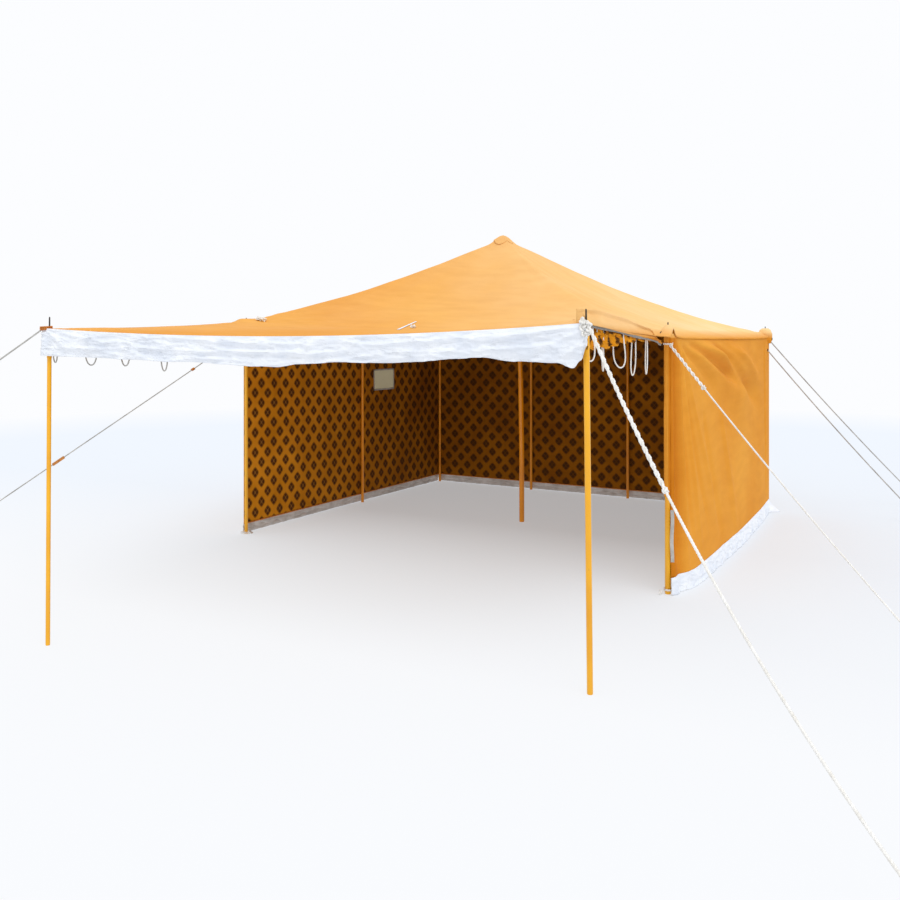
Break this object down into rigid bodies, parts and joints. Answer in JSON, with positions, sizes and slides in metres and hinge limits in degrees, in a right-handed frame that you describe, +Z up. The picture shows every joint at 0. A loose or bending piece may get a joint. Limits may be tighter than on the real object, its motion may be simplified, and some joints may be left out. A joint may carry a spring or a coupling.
{
  "type": "canvas camping tent with a lifted front awning",
  "caption": "Square canvas tent: pyramid roof on a centre pole, three walls with white skirts, and the front wall lifted on two poles as an awning, all held by guy ropes to pegs",
  "frame": {"origin": "on the ground at the foot of the centre pole, the middle of the square of corner poles", "axes": "+Z up, +Y from the open front to the back wall, +X to the right seen from the open front"},
  "size_m": [7.5422, 9.7254, 2.8633],
  "materials": {
    "canvas": "ochre cotton canvas outside, ochre lining with a dark brown lozenge print inside",
    "white_cotton": "plain white woven cotton, creased",
    "vent_mesh": "fine grey mesh in a sewn frame",
    "yellow_enamel": "yellow gloss paint on steel tube, worn in places",
    "rope": "white three-strand rope",
    "forged_steel": "dull forged steel",
    "wood": "varnished hardwood"
  },
  "bodies": {
    "root": {"roof_canopy": "canvas", "roof_cap": "canvas", "awning_sheet": "canvas", "left_wall": "canvas", "back_wall": "canvas", "right_wall": "canvas", "awning_valance": "white_cotton", "left_skirt": "white_cotton", "back_skirt": "white_cotton", "right_skirt": "white_cotton", "left_vent_window": "vent_mesh", "centre_pole": "yellow_enamel", "front_left_pole": "yellow_enamel", "front_right_pole": "yellow_enamel", "back_left_pole": "yellow_enamel", "back_right_pole": "yellow_enamel", "left_middle_pole": "yellow_enamel", "right_middle_pole": "yellow_enamel", "back_inner_left_pole": "yellow_enamel", "back_inner_right_pole": "yellow_enamel", "awning_left_pole": "yellow_enamel", "awning_right_pole": "yellow_enamel", "awning_left_guy": "rope", "awning_right_guy": "rope", "front_left_guy": "rope", "front_right_guy": "rope", "back_left_upper_guy": "rope", "back_left_lower_guy": "rope", "back_right_upper_guy": "rope", "back_right_lower_guy": "rope", "awning_loop_1": "rope", "awning_loop_2": "rope", "awning_loop_3": "rope", "awning_loop_4": "rope", "awning_loop_5": "rope", "awning_loop_6": "rope", "awning_left_peg": "forged_steel", "awning_right_peg": "forged_steel", "front_left_peg": "forged_steel", "front_right_peg": "forged_steel", "back_left_upper_peg": "forged_steel", "back_left_lower_peg": "forged_steel", "back_right_upper_peg": "forged_steel", "back_right_lower_peg": "forged_steel", "front_left_slider": "wood"}
  },
  "joints": []
}
